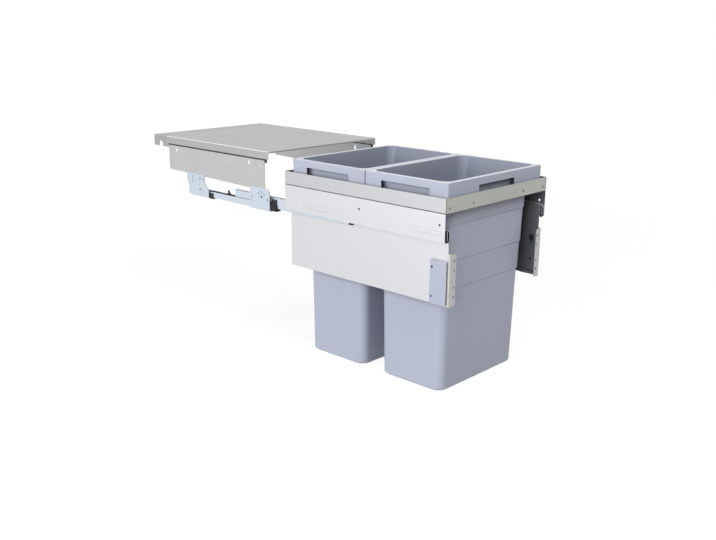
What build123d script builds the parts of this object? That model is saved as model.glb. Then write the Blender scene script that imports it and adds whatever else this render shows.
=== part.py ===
from build123d import *
import math
import os

# A pull-out waste-bin frame for a kitchen cabinet, drawn pulled out, in millimetres.
# X runs across the cabinet, Y runs back into it and Z is up. The origin lies midway
# between the cabinet walls, in the plane of the cabinet's front edge, level with the
# underside of the cabinet rails. The left side is modelled and mirrored to the right.

# Cabinet and frame
cabinet_width = 418.0      # clear width between the cabinet's side walls
frame_width = 412.0        # over the frame's side panels
frame_depth = 520.0        # front rail to rear rail
travel = 560.0             # how far the frame pulls out
sheet = 1.0                # steel sheet of the frame and lid
bend = 1.2                 # centre-line radius of a sheet bend
cut_over = 5.0             # how far every cutting tool overruns
plate_gap = 0.3            # clearance between plates that pass or meet
weld_land = 12.0           # width of a flange that is welded to its neighbour

# Slides: formed zinc-plated rails with two ball cages on each side
slide_channel = 17.5       # clear width between the frame's outer and inner panels
rail_side_gap = 0.4        # between a rail and the panel beside it
rail_sheet = 1.2
rail_bend = 1.4
rail_height = 17.0         # cabinet rail
drawer_rail_height = 23.0
middle_height = 30.0       # intermediate rail
rail_web_gap = 5.8         # between the webs of two nested rails
ball_space = 2.4           # between the side walls of two nested rails
ball_diameter = 3.175
ball_play = 0.06           # between a ball and its groove
row_inset = 2.5            # ball row to the intermediate rail's edge
balls_per_row = 4
cage_sheet = 1.2
cage_bridge = 0.9
cage_edge = 2.6            # cage wall beyond the ball row
pocket_play = 0.08         # between a ball and its pocket in the cage
upper_cage_length = 208.0
lower_cage_length = 100.0
upper_cage_lead = 9.0      # from the intermediate rail's front end, pulled out
lower_cage_lead = 2.0      # from the cabinet rail's front end, pulled out
middle_length = 430.0
middle_setback = 23.0      # from the cabinet edge, pushed in
middle_lip = 2.6           # in-turned feet of the intermediate rail
cabinet_rail_length = 356.0
rail_setback = 3.0         # front guide behind the cabinet edge
end_cap_face = 9.0
end_cap_plug = 9.0
end_cap_play = 0.15
middle_slot_length = 7.0
middle_slot_width = 3.2
middle_slot_pitch = 86.5
middle_slot_rise = 6.0

# Guides and pull-in catch, moulded
front_guide_length = 19.0
front_guide_cheek = 31.2   # top of its tall outer cheek
guide_play = 0.4           # between a guide and the intermediate rail
guide_tongue = 13.0
tongue_height = 1.8
rear_guide_length = 16.0
rear_guide_cap = 2.5       # over the cabinet rail's outer wall
rear_guide_sole = 3.0      # under the cabinet rail
rear_guide_neck = 8.0      # square neck through the cabinet rail's floor
rear_guide_wall = 1.2
rear_guide_rise = 13.5     # top of the outer wall, under the frame's panel
track_height = 5.0
track_rise = 0.5           # above the cabinet rail's top edge
track_start = 105.0
track_slot_depth = 2.5
catch_travel = 40.0
catch_play = 0.3
peg_length = 7.0
peg_start = 210.0          # peg's front face, frame pulled out
catch_foot = 16.0
catch_lip = 2.0
catch_lip_top = 20.5
trip_tab = 2.4             # the tab on the drawer rail that trips the catch
trip_tab_rise = 6.5        # above the drawer rail's lower edge
trip_tab_height = 4.0

# Wall brackets, cut from sheet, with a foot turned in under the cabinet rail
bracket_sheet = 1.5
bracket_bend = 1.8
front_bracket_length = 78.0
front_bracket_height = 57.0
front_bracket_inset = 1.0
front_bracket_corner = 8.0
front_screw_y = 31.8       # from the bracket's front edge
front_screw_z = 33.2
rear_bracket_length = 97.0
rear_bracket_height = 61.0
rear_bracket_neck = 79.5   # length of its top edge
rear_bracket_waist = 20.0  # height of the foot's full length
rear_bracket_heel = 19.0   # how far the rear edge comes in at the foot
rear_bracket_corner = 2.5
rear_screw_y = 59.0        # from the bracket's rear edge
rear_screw_z = 19.5
screw_hole_radius = 3.2
small_slot_width = 2.2
small_slot_length = 8.0
fan_radius = 14.0
fan_slots = 5
fan_step = 28.0            # degrees between the slots of the fan
tall_slot_length = 22.0

# Frame panels, heights above the origin
skirt_bottom = 14.0        # lower edge of the outer panel
shelf_bottom = 45.0        # underside of the shelf over the drawer rail
band_height = 35.0         # top band round the frame
band_top = 114.0
ledge = 20.0               # in-turned ledge that carries the bins
band_fold = 2.6            # centre-line radius of the side bands' fold
seam = 1.3                 # gap at the corners of the band
corner_tab = 20.0
band_hole_radius = 2.4
band_hole_drop = 23.0
band_hole_outer = 15.0     # from the frame's side
band_hole_inner = 103.0
panel_hole_radius = 2.75
panel_hole_inset = 13.0
panel_hole_drop = 61.0     # below the band's top
lip_height = 4.0           # upturned lip of the shelf
inner_panel_inset = 2.3    # its front edge behind the frame's front
inner_panel_bottom = -138.0
foot_hook = 8.0            # hook turned up at the panel's lower front end
foot_hook_width = 5.0
foot_hook_start = 10.0     # behind the frame's front
foot_hook_length = 37.0
pad_height = 10.0          # long pressed pads, welded to the drawer rail
pad_length = 90.0
pad_drop = 80.5            # below the band's top
pad_front = 57.0           # middle of the front pad
pad_rear = 409.0
drawer_rail_inset = 1.5

# Door brackets and their covers
flange_stand = 5.0         # front flange ahead of the frame's front
door_sheet = 2.0
door_bend = 2.4
flange_width = 22.5
flange_top = -14.0
flange_bottom = -139.0
base_top = -34.0
base_length = 50.0
flange_corner = 6.0
door_hole_outer_radius = 3.3
door_hole_inner_radius = 2.5
door_hole_inset = 6.0      # from the flange's inner edge
door_hole_outer_pitch = 86.0
door_hole_inner_pitch = 40.5
door_hole_middle = -74.4
cover_stand = 4.0
cover_wall = 1.4
cover_top = -33.0
cover_bottom = -136.5
cover_front = 2.0
cover_length = 47.5
cover_bevel = 0.8
cover_screw_inset = 6.0
cover_screw_pitch = 69.4
cover_screw_drop = 19.4
cover_screw_radius = 2.9
cover_screw_head = 1.1
cover_shank_radius = 1.6
screw_play = 0.1
window_width = 14.0        # rounded window in the inner panel, over the bracket's base
window_height = 18.0
window_inset = 21.0
window_drop = 42.5         # below the origin
window_corner = 3.0
adjuster_hole_radius = 3.0
adjuster_hole_drops = (56.5, 98.7)

# Lid fixed in the cabinet
lid_top = 156.3
lid_setback = 26.0         # front edge behind the cabinet's front
lid_side_gap = 0.4
lid_length = 446.0
lid_flange = 20.3
hem_depth = 8.0
hem_bend = 1.7
rear_strip_depth = 60.0
rear_ear_height = 31.7
ear_lap = 10.0             # the ear reaches this far under the lid's flange
ear_notch_length = 17.0
ear_notch_height = 10.8
ear_notch_rear = 25.0
lap = 15.0
side_plate_setback = 42.0
side_plate_length = 420.0
side_plate_front_drop = 63.0
side_plate_rear_drop = 53.0
tongue_inset = 14.0        # the rear strip's tongue inside the lid's flange
buffer_height = 4.4        # rubber edging between the lid's flange and the side plate
buffer_side = 0.9          # its wall on each side of the plate
buffer_groove = 2.2        # how deep the plate's edge sits in it
buffer_end = 10.0          # it turns down this far over the plate's front end
buffer_end_length = 8.5
keyhole_pitch = 320.0
keyhole_front = 63.0       # from the plate's front edge
keyhole_height = 119.0
keyhole_radius = 4.5
keyhole_slot_radius = 2.2
keyhole_rise = 7.0

# Bins, one mould
bin_front_gap = 7.4        # rim behind the frame's front
bin_gap = 2.5              # between the two rims
bin_rear_gap = 13.1
bin_side_gap = 15.3        # rim to the frame's side
rim_rise = 31.5            # rim above the band
rim_flange = 12.0
rim_corner = 12.0
rim_bevel = 1.0
wall = 2.5
floor_thickness = 3.0
bin_bottom = -372.0
body_corner = 24.0
bottom_round = 7.0         # drawn as a bevel in three flats
seat_gap = 0.3             # rim skirt above its ledge
mouth_drop = 23.5          # flare from the mouth down to the neck
neck_drop = 66.5           # flare from the mouth down to the shoulder
neck_half_inset = 16.7     # neck behind the rim skirt
shoulder_side_inset = 24.2
shoulder_end_inset = 17.4
step_drops = (103.5, 190.5, 261.0)   # below the rim's top
step_in = 1.7
step_height = 3.5
body_draft = 0.89          # degrees that the lower body tapers
grip_width = 146.0         # finger openings in the rim skirt
grip_top = 17.5            # below the rim's top

# Worked out from the sizes above
wall_x = -cabinet_width / 2
side_gap = (cabinet_width - frame_width) / 2
frame_front = flange_stand - travel
frame_rear = frame_front + frame_depth
outer_x = wall_x + side_gap
channel_x = outer_x + sheet
inner_x = channel_x + slide_channel
rail_x = channel_x + rail_side_gap
rail_width = slide_channel - 2 * rail_side_gap
rail_mid_x = rail_x + rail_width / 2
rail_inside = rail_width - 2 * rail_sheet
middle_width = rail_inside - 2 * ball_space
middle_x = rail_mid_x - middle_width / 2
middle_bottom = rail_sheet + rail_web_gap
middle_top = middle_bottom + middle_height
drawer_rail_top = middle_top + rail_web_gap + rail_sheet
drawer_rail_bottom = drawer_rail_top - drawer_rail_height
rail_front = rail_setback + front_guide_length
rail_rear = rail_front + cabinet_rail_length
middle_front = middle_setback - travel / 2
lower_row = middle_bottom + row_inset
upper_row = middle_top - row_inset
row_offset = (rail_inside + middle_width) / 4
rear_guide_front = rail_rear - rear_bracket_length - rear_guide_length
band_bottom = band_top - band_height
band_ledge_x = outer_x + ledge
rim_top = band_top + rim_rise
lid_x = wall_x + lid_side_gap
lid_rear = lid_setback + lid_length
plate_x = wall_x + bracket_sheet
plate_top = lid_top - lid_flange - buffer_height + buffer_groove
half_frame = frame_width / 2
body_taper = math.tan(math.radians(body_draft))


def block(x0, x1, y0, y1, z0, z1):
    """A box between two opposite corners."""
    solid = Box(x1 - x0, y1 - y0, z1 - z0)
    return Pos((x0 + x1) / 2, (y0 + y1) / 2, (z0 + z1) / 2) * solid


def along_y(face, y0, y1):
    """Extrude a face drawn in X and Z from y0 to y1."""
    return extrude(Plane.XZ.offset(-y1) * face, amount=y1 - y0)


def along_x(face, x0, x1):
    """Extrude a face drawn in Y and Z from x0 to x1."""
    return extrude(Plane.YZ.offset(x0) * face, amount=x1 - x0)


def along_z(face, z0, z1):
    """Extrude a face drawn in X and Y from z0 to z1."""
    return extrude(Plane.XY.offset(z0) * face, amount=z1 - z0)


def bent(points, thickness, radius):
    """The section of a bent sheet, from its centre line."""
    return trace(FilletPolyline(*points, radius=radius), line_width=thickness)


def hole_x(y, z, radius, x0, x1):
    """A round cutter along X."""
    return along_x(Pos(y, z) * Circle(radius), x0 - cut_over, x1 + cut_over)


def hole_y(x, z, radius, y0, y1):
    """A round cutter along Y."""
    return along_y(Pos(x, z) * Circle(radius), y0 - cut_over, y1 + cut_over)


def slot_x(y, z, length, width, angle, x0, x1):
    """A square-ended slot cutter along X, turned by an angle from upright."""
    face = Pos(y, z) * Rot(0, 0, 90 + angle) * Rectangle(length, width)
    return along_x(face, x0 - cut_over, x1 + cut_over)


def rail_section(bottom, height, opening_up):
    """A U section of the cabinet and drawer rails."""
    left = rail_x + rail_sheet / 2
    right = rail_x + rail_width - rail_sheet / 2
    web = bottom + rail_sheet / 2 if opening_up else bottom + height - rail_sheet / 2
    edge = bottom + height if opening_up else bottom
    points = [(left, edge), (left, web), (right, web), (right, edge)]
    return bent(points, rail_sheet, rail_bend)


def groove(x, z, y0, y1):
    """A long round cutter for a ball groove."""
    radius = ball_diameter / 2 + ball_play
    return along_y(Pos(x, z) * Circle(radius), y0 - cut_over, y1 + cut_over)


def grooves(z, y0, y1):
    """The two ball grooves of one row height."""
    left = groove(rail_mid_x - row_offset, z, y0, y1)
    return left + groove(rail_mid_x + row_offset, z, y0, y1)


def cabinet_rail():
    """The fixed rail: a channel open at the top."""
    rail = along_y(rail_section(0, rail_height, True), rail_front, rail_rear)
    rail -= grooves(lower_row, rail_front, rail_rear)
    middle = rear_guide_front + rear_guide_length / 2
    neck = Rectangle(rear_guide_neck, rear_guide_neck)
    return rail - along_z(Pos(rail_mid_x, middle) * neck, -cut_over, cut_over)


def intermediate_rail():
    """The middle rail: a tall inverted channel with in-turned feet."""
    y0, y1 = middle_front, middle_front + middle_length
    left = middle_x + rail_sheet / 2
    right = middle_x + middle_width - rail_sheet / 2
    top = middle_top - rail_sheet / 2
    foot = middle_bottom + rail_sheet / 2
    lip = middle_lip
    points = [(middle_x + lip, foot), (left, foot), (left, top), (right, top), (right, foot),
              (middle_x + middle_width - lip, foot)]
    rail = along_y(bent(points, rail_sheet, rail_sheet / 2 + plate_gap), y0, y1)
    rail -= grooves(lower_row, y0, y1)
    rail -= grooves(upper_row, y0, y1)
    middle_z = middle_bottom + middle_slot_rise
    for step in range(int((middle_length - middle_slot_pitch / 2) / middle_slot_pitch)):
        y = y0 + (step + 1) * middle_slot_pitch
        rail -= slot_x(y, middle_z, middle_slot_length, middle_slot_width, 90,
                       middle_x, middle_x + middle_width)
    return rail


def intermediate_end_cap():
    """The moulded cap in the intermediate rail's front end."""
    y0 = middle_front
    face = Pos(rail_mid_x, (middle_bottom + middle_top) / 2) * RectangleRounded(
        middle_width, middle_height, rail_sheet)
    inset = rail_sheet + end_cap_play
    plug_face = Pos(rail_mid_x, (middle_bottom + middle_top) / 2) * Rectangle(
        middle_width - 2 * inset, middle_height - 2 * inset)
    return along_y(face, y0 - end_cap_face, y0) + along_y(plug_face, y0, y0 + end_cap_plug)


def drawer_rail():
    """The rail under the frame's shelf: an inverted channel with the tab that trips the catch."""
    y0 = frame_front + drawer_rail_inset
    y1 = frame_rear - drawer_rail_inset
    rail = along_y(rail_section(drawer_rail_bottom, drawer_rail_height, False), y0, y1)
    rail -= grooves(upper_row, y0, y1)
    inside = rail_x + rail_width - rail_sheet
    tab_rear = peg_start + catch_travel - catch_play - travel
    tab_bottom = drawer_rail_bottom + trip_tab_rise
    tab = block(inside - ball_space + 2 * catch_play, inside, tab_rear - trip_tab, tab_rear,
                tab_bottom, tab_bottom + trip_tab_height)
    return rail + tab


def ball_places(start, length):
    """Y of the balls of one row, evenly spread over a cage."""
    step = length / balls_per_row
    return [start + step * (n + 1 / 2) for n in range(balls_per_row)]


def ball():
    """A ball in 26 flat faces, with its corners on the true radius."""
    corner_share = math.sqrt(5 + 2 * math.sqrt(2))
    flat = ball_diameter / corner_share
    across = flat * (1 + math.sqrt(2))
    cube = Box(across, across, across)
    return chamfer(cube.edges(), (across - flat) / 2)


def balls(start, length, z):
    """The balls of one cage, in two rows."""
    made = []
    for y in ball_places(start, length):
        for x in (rail_mid_x - row_offset, rail_mid_x + row_offset):
            made.append(Pos(x, y, z) * ball())
    return made


def cage(start, length, z, over):
    """A moulded ball cage: two walls joined by a bridge over or under the intermediate rail."""
    left, right = rail_mid_x - row_offset, rail_mid_x + row_offset
    if over:
        web = middle_top + rail_web_gap / 2
        edge = z - cage_edge
    else:
        web = middle_bottom - rail_web_gap / 2
        edge = z + cage_edge
    low, high = min(web, edge), max(web, edge)
    made = block(left - cage_sheet / 2, left + cage_sheet / 2, start, start + length, low, high)
    made += block(right - cage_sheet / 2, right + cage_sheet / 2, start, start + length, low, high)
    made += block(left - cage_sheet / 2, right + cage_sheet / 2, start, start + length,
                  web - cage_bridge / 2, web + cage_bridge / 2)
    half = ball_diameter / 2 + pocket_play
    for y in ball_places(start, length):
        made -= block(left - cut_over, right + cut_over, y - half, y + half, z - half, z + half)
    return made


def upper_cage_start():
    return middle_front + upper_cage_lead


def lower_cage_start():
    return rail_front + lower_cage_lead


def front_guide():
    """The moulded guide on the cabinet rail's front end, round the intermediate rail."""
    y0, y1 = rail_setback, rail_front
    right = rail_x + rail_width
    cheek_inner = middle_x - guide_play
    body = block(rail_x, right, y0, y1, 0, rail_height)
    body -= block(cheek_inner, middle_x + middle_width + guide_play, y0 - cut_over, y1 + cut_over,
                  middle_bottom - guide_play, rail_height + cut_over)
    cheek_outer = rail_x + rail_sheet + plate_gap
    body += block(cheek_outer, cheek_inner, y0, y1, rail_height, front_guide_cheek)
    tongue = block(middle_x, middle_x + middle_width, y1, y1 + guide_tongue,
                   rail_sheet, rail_sheet + tongue_height)
    return body + tongue


def rear_guide():
    """The moulded stop ahead of the rear bracket, snapped through the cabinet rail's floor."""
    y0, y1 = rear_guide_front, rear_guide_front + rear_guide_length
    left = rail_x + rail_sheet
    right = rail_x + rail_width - rail_sheet
    body = block(left, right, y0, y1, rail_sheet, rail_height)
    body = chamfer(body.edges().filter_by(Axis.Y).group_by(Axis.Z)[0], rail_bend)
    body -= block(middle_x - guide_play, middle_x + middle_width + guide_play,
                  y0 - cut_over, y1 + cut_over, middle_bottom - guide_play, rail_height + cut_over)
    cap = block(rail_x, middle_x - guide_play, y0, y1, rail_height, rail_height + rear_guide_cap)
    sole = block(rail_x - rear_guide_wall, rail_mid_x + rear_guide_neck, y0, y1, -rear_guide_sole, 0)
    outer = block(rail_x - rear_guide_wall, rail_x, y0, y1, -rear_guide_sole, rear_guide_rise)
    middle = (y0 + y1) / 2
    half = rear_guide_neck / 2 - plate_gap / 2
    neck = block(rail_mid_x - half, rail_mid_x + half, middle - half, middle + half, 0, rail_sheet)
    return body + cap + sole + outer + neck


def track_box():
    """The corners of the catch track: inner side of the cabinet rail, above the lower cage."""
    x1 = rail_x + rail_width - rail_sheet
    x0 = middle_x + middle_width + guide_play
    z1 = rail_height + track_rise
    return x0, x1, z1 - track_height, z1


def catch_track():
    """The moulded track that the pull-in catch slides in."""
    x0, x1, z0, z1 = track_box()
    bar = block(x0, x1, track_start, rear_guide_front, z0, z1)
    front = peg_start - (catch_foot - peg_length) / 2 - 2 * catch_play
    rear = front + catch_foot + catch_travel + 4 * catch_play
    return bar - block(x0 - cut_over, x1 + cut_over, front, rear, z1 - track_slot_depth, z1 + cut_over)


def catch():
    """The pull-in catch: a foot in the track, a low front lip and a peg just under the trip tab."""
    x0, x1, _, z1 = track_box()
    inner = x1 - catch_play
    start = peg_start - (catch_foot - peg_length) / 2
    bottom = z1 - track_slot_depth + catch_play
    foot = block(x0, inner, start, start + catch_foot, bottom, z1)
    lip = block(x0, inner, start, start + catch_lip, z1, catch_lip_top)
    peg_top = drawer_rail_bottom + trip_tab_rise - plate_gap
    peg = block(x0, inner, peg_start, peg_start + peg_length, z1, peg_top)
    return foot + lip + peg


def front_bracket():
    """The front wall bracket, with a screw hole and a fan of adjusting slots."""
    y0 = rail_front + front_bracket_inset
    y1 = y0 + front_bracket_length
    middle = wall_x + bracket_sheet / 2
    reach = rail_x + rail_width - weld_land / 4
    points = [(middle, front_bracket_height), (middle, -bracket_sheet / 2), (reach, -bracket_sheet / 2)]
    body = along_y(bent(points, bracket_sheet, bracket_bend), y0, y1)
    corner = front_bracket_corner
    square = block(wall_x - cut_over, wall_x + cut_over, y0 - cut_over, y0 + corner,
                   front_bracket_height - corner, front_bracket_height + cut_over)
    round_off = hole_x(y0 + corner, front_bracket_height - corner, corner, wall_x, wall_x)
    body -= square - round_off
    y, z = y0 + front_screw_y, front_screw_z
    body -= hole_x(y, z, screw_hole_radius, wall_x, wall_x + bracket_sheet)
    for n in range(fan_slots):
        turn = (n - (fan_slots - 1) / 2) * fan_step
        sy = y + fan_radius * math.sin(math.radians(turn))
        sz = z + fan_radius * math.cos(math.radians(turn))
        body -= slot_x(sy, sz, small_slot_length, small_slot_width, -turn, wall_x, wall_x + bracket_sheet)
    for sy in (y0 + front_bracket_corner, y1 - front_bracket_corner):
        body -= slot_x(sy, front_bracket_height / 2, tall_slot_length / 2, small_slot_width, 0,
                       wall_x, wall_x + bracket_sheet)
    return body


def rear_bracket():
    """The rear wall bracket, flared towards the foot and stepped in at the heel."""
    y1 = rail_rear
    y0 = y1 - rear_bracket_length
    middle = wall_x + bracket_sheet / 2
    reach = rail_x + rail_width - weld_land / 4
    points = [(middle, rear_bracket_height), (middle, -bracket_sheet / 2), (reach, -bracket_sheet / 2)]
    body = along_y(bent(points, bracket_sheet, bracket_bend), y0, y1)
    neck = y1 - rear_bracket_neck
    heel = y1 - rear_bracket_heel
    waist = rear_bracket_waist
    shoulder = (waist + rear_bracket_height) / 2
    outline = Polyline(
        (neck, rear_bracket_height + cut_over), (neck, shoulder), (y0, waist),
        (y0, -cut_over), (heel, -cut_over), (y1 - rear_bracket_heel / 2, waist + bracket_sheet),
        (y1, shoulder), (y1, rear_bracket_height + cut_over), close=True)
    body &= along_x(make_face(outline), wall_x - cut_over, reach + cut_over)
    y, z = y1 - rear_screw_y, rear_screw_z
    body -= hole_x(y, z, screw_hole_radius, wall_x, wall_x + bracket_sheet)
    top_z = rear_bracket_height - tall_slot_length / 2 - rear_bracket_corner
    body -= slot_x(y1 - rear_bracket_neck / 3, top_z - rear_bracket_corner, tall_slot_length,
                   small_slot_width, 0, wall_x, wall_x + bracket_sheet)
    for n in range(3):
        sy = neck + small_slot_length * (n + 1) - small_slot_width
        body -= slot_x(sy, top_z + small_slot_width, small_slot_length, small_slot_width, 0,
                       wall_x, wall_x + bracket_sheet)
    body -= slot_x(y, (z + top_z) / 2, small_slot_length, small_slot_width, 90,
                   wall_x, wall_x + bracket_sheet)
    return body


def side_band():
    """The top band of one side: an upright web with a ledge turned in at its foot."""
    web = outer_x + sheet / 2
    foot = band_bottom + sheet / 2
    points = [(web, band_top), (web, foot), (band_ledge_x, foot)]
    band = along_y(bent(points, sheet, band_fold), frame_front, frame_rear)
    relief = 2 * sheet + plate_gap
    for y0, y1 in ((frame_front - cut_over, frame_front + relief),
                   (frame_rear - relief, frame_rear + cut_over)):
        band -= block(outer_x + 2 * sheet, band_ledge_x + cut_over, y0, y1,
                      band_bottom - cut_over, band_bottom + 2 * sheet)
    return band


def end_rail(y_face, inward):
    """A front or rear rail with its ledge; inward is +1 from the front, -1 from the rear."""
    half = half_frame - sheet - seam
    web = y_face + inward * sheet / 2
    foot = band_bottom + sheet / 2
    points = [(web, band_top), (web, foot), (y_face + inward * ledge, foot)]
    rail = along_x(bent(points, sheet, bend), -half, half)
    for side in (-1, 1):
        low, high = sorted((side * (half_frame - ledge - seam), side * half_frame))
        near, far = sorted((y_face + inward * 2 * sheet, y_face + inward * (ledge + sheet)))
        rail -= block(low, high, near, far, band_bottom - cut_over, band_bottom + cut_over)
        tab = side * (half_frame - sheet * 3 / 2)
        points = [(tab, y_face + inward * corner_tab), (tab, web), (side * (half - 2 * seam), web)]
        rail += along_z(bent(points, sheet, bend), band_bottom + sheet + band_fold, band_top - sheet / 2)
    return rail


def front_rail():
    """The flat front rail with its four screw holes."""
    rail = end_rail(frame_front, 1)
    z = band_top - band_hole_drop
    for x in (half_frame - band_hole_outer, band_hole_inner):
        for side in (-1, 1):
            rail -= hole_y(side * x, z, band_hole_radius, frame_front, frame_front)
    return rail


def panel_hole_places():
    middle = (frame_front + frame_rear) / 2
    return (frame_front + panel_hole_inset + panel_hole_radius, middle,
            frame_rear - panel_hole_inset + panel_hole_radius)


def outer_panel():
    """The outer side panel under the band, with two long pads pressed in to the drawer rail."""
    web = outer_x + sheet / 2
    top = band_bottom - sheet / 2
    points = [(outer_x + weld_land, top), (web, top), (web, skirt_bottom)]
    panel = along_y(bent(points, sheet, bend), frame_front, frame_rear)
    for y in panel_hole_places():
        panel -= hole_x(y, band_top - panel_hole_drop, panel_hole_radius, outer_x, channel_x)
    z = band_top - pad_drop
    for middle in (frame_front + pad_front, frame_front + pad_rear):
        pad = Pos(middle, z) * SlotOverall(pad_length, pad_height)
        panel -= along_x(pad, outer_x, outer_x + rail_side_gap)
        panel += along_x(pad, channel_x, channel_x + rail_side_gap)
    return panel


def inner_panel():
    """The shelf over the slide and the tall inner panel below it, with the adjuster windows."""
    lip = channel_x + sheet / 2
    shelf = shelf_bottom + sheet / 2
    web = inner_x + sheet / 2
    points = [(lip, shelf_bottom + lip_height), (lip, shelf), (web, shelf), (web, inner_panel_bottom)]
    front = frame_front + inner_panel_inset
    panel = along_y(bent(points, sheet, bend), front, frame_rear - 2 * drawer_rail_inset)
    y = frame_front + window_inset
    window = Pos(y, -window_drop) * RectangleRounded(window_width, window_height, window_corner)
    panel -= along_x(window, inner_x - cut_over, inner_x + cut_over)
    for drop in adjuster_hole_drops:
        panel -= hole_x(y, -drop, adjuster_hole_radius, inner_x, inner_x)
    foot = inner_panel_bottom + sheet / 2
    edge = web + foot_hook_width
    points = [(web, foot + 2 * bend), (web, foot), (edge, foot), (edge, foot + foot_hook)]
    start = frame_front + foot_hook_start
    return panel + along_y(bent(points, sheet, bend), start, start + foot_hook_length)


def door_bracket():
    """The steel angle that carries the door: a base on the inner panel and a drilled front flange."""
    y0 = frame_front - flange_stand
    base = inner_x - door_sheet / 2
    points = [(base, frame_front + base_length), (base, y0 + door_sheet / 2),
              (inner_x - door_sheet + flange_width, y0 + door_sheet / 2)]
    bracket = along_z(bent(points, door_sheet, door_bend), flange_bottom, flange_top)
    bracket -= block(inner_x - door_sheet - cut_over, inner_x + cut_over,
                     frame_front + inner_panel_inset, frame_front + base_length + cut_over,
                     base_top, flange_top + cut_over)
    edge = inner_x - door_sheet + flange_width
    for z, direction in ((flange_bottom, 1), (flange_top, -1)):
        cx, cz = edge - flange_corner, z + direction * flange_corner
        low, high = sorted((z - direction * cut_over, cz))
        square = block(cx, edge + cut_over, y0 - cut_over, y0 + cut_over, low, high)
        bracket -= square - hole_y(cx, cz, flange_corner, y0, y0)
    x = edge - door_hole_inset
    for side in (-1, 1):
        outer, inner = side * door_hole_outer_pitch / 2, side * door_hole_inner_pitch / 2
        bracket -= hole_y(x, door_hole_middle + outer, door_hole_outer_radius, y0, y0)
        bracket -= hole_y(x, door_hole_middle + inner, door_hole_inner_radius, y0, y0)
    return bracket


def cover_screw_heights():
    top = cover_top - cover_screw_drop
    return (top, top - cover_screw_pitch)


def bracket_cover():
    """The moulded cover over the door bracket's base, open towards the front."""
    x1 = inner_x - door_sheet
    x0 = x1 - cover_stand
    y0 = frame_front + cover_front
    y1 = y0 + cover_length
    middle = Pos((y0 + y1) / 2, (cover_top + cover_bottom) / 2)
    cover = along_x(middle * Rectangle(cover_length, cover_top - cover_bottom), x0, x1)
    cover = chamfer(cover.faces().sort_by(Axis.X)[0].edges(), cover_bevel)
    cover -= block(x0 + cover_wall, x1 + cut_over, y0 - cut_over, y1 - cover_wall,
                   cover_bottom + cover_wall, cover_top - cover_wall)
    for z in cover_screw_heights():
        cover -= hole_x(y1 - cover_screw_inset, z, cover_shank_radius + screw_play, x0, x0)
    return cover


def cover_screws():
    """Screws from the cover's face to the bracket's base."""
    x0 = inner_x - door_sheet - cover_stand
    y = frame_front + cover_front + cover_length - cover_screw_inset
    made = []
    for z in cover_screw_heights():
        head = along_x(Pos(y, z) * Circle(cover_screw_radius), x0 - cover_screw_head, x0)
        shank = along_x(Pos(y, z) * Circle(cover_shank_radius), x0, inner_x - door_sheet)
        made.append(head + shank)
    return made


def lid_panel():
    """The lid: a folded sheet with a flange down each side and a hem along the front."""
    half = cabinet_width / 2 - lid_side_gap - sheet / 2
    top = lid_top - sheet / 2
    bottom = lid_top - lid_flange
    points = [(-half, bottom), (-half, top), (half, top), (half, bottom)]
    panel = along_y(bent(points, sheet, bend), lid_setback, lid_rear)
    inside = half - bend - sheet
    fold = lid_setback - hem_bend
    under = top - 2 * hem_bend
    edge = lid_setback + hem_bend
    hem_points = [(lid_setback + hem_depth, under), (fold, under), (fold, top), (edge, top)]
    hem = along_x(bent(hem_points, sheet, hem_bend * 9 / 10), -inside, inside)
    return panel + hem


def lid_rear_strip():
    """The strip along the lid's rear edge, lapped under the panel, with an ear at each end."""
    half = cabinet_width / 2 - lid_side_gap - sheet / 2
    top = lid_top - sheet / 2
    y0 = lid_rear + plate_gap
    y1 = y0 + rear_strip_depth
    low = lid_top - rear_ear_height
    points = [(-half, low), (-half, top), (half, top), (half, low)]
    strip = along_y(bent(points, sheet, bend), y0, y1)
    notch = Pos(y1 - ear_notch_rear - ear_notch_length / 2, low) * SlotOverall(
        2 * ear_notch_height + ear_notch_length / 2, ear_notch_length, rotation=90)
    strip -= along_x(notch, -half - cut_over, half + cut_over)
    inside = half - tongue_inset
    tongue = block(-inside, inside, y0 - lap, y0 + sheet, lid_top - 2 * sheet, lid_top - sheet)
    under = lid_top - lid_flange - plate_gap
    foot = block(-half - sheet / 2, -half + sheet / 2, y0 - ear_lap, y0 + sheet, low, under)
    return strip + tongue + foot + mirror(foot, about=Plane.YZ)


def keyhole(y, z, x0, x1):
    """A keyhole cutter: a round entry with a narrow slot above it."""
    entry = Pos(y, z) * Circle(keyhole_radius)
    slot = Pos(y, z + keyhole_rise / 2) * SlotCenterToCenter(
        keyhole_rise, 2 * keyhole_slot_radius, rotation=90)
    return along_x(entry + slot, x0 - cut_over, x1 + cut_over)


def lid_side_plate():
    """The flat plate screwed to the cabinet wall that carries the lid on its rubber edging."""
    y0 = side_plate_setback
    y1 = y0 + side_plate_length
    outline = Polyline((y0, plate_top), (y0, band_top - side_plate_front_drop),
                       (y1, band_top - side_plate_rear_drop), (y1, plate_top), close=True)
    plate = along_x(make_face(outline), plate_x, plate_x + sheet)
    for n in range(2):
        y = y0 + keyhole_front + n * keyhole_pitch
        plate -= keyhole(y, keyhole_height, plate_x, plate_x + sheet)
    return plate


def lid_buffers():
    """Rubber edging along the side plate's top, turned down over its front end."""
    x0 = plate_x - buffer_side
    x1 = plate_x + sheet + buffer_side
    y0 = side_plate_setback
    y1 = y0 + side_plate_length
    top = lid_top - lid_flange
    edging = block(x0, x1, y0 - buffer_end_length, y1, top - buffer_height, top)
    edging += block(x0, x1, y0 - buffer_end_length, y0, top - buffer_end, top)
    return edging - block(plate_x, plate_x + sheet, y0, y1 + cut_over, top - buffer_height - cut_over,
                          plate_top)


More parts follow.
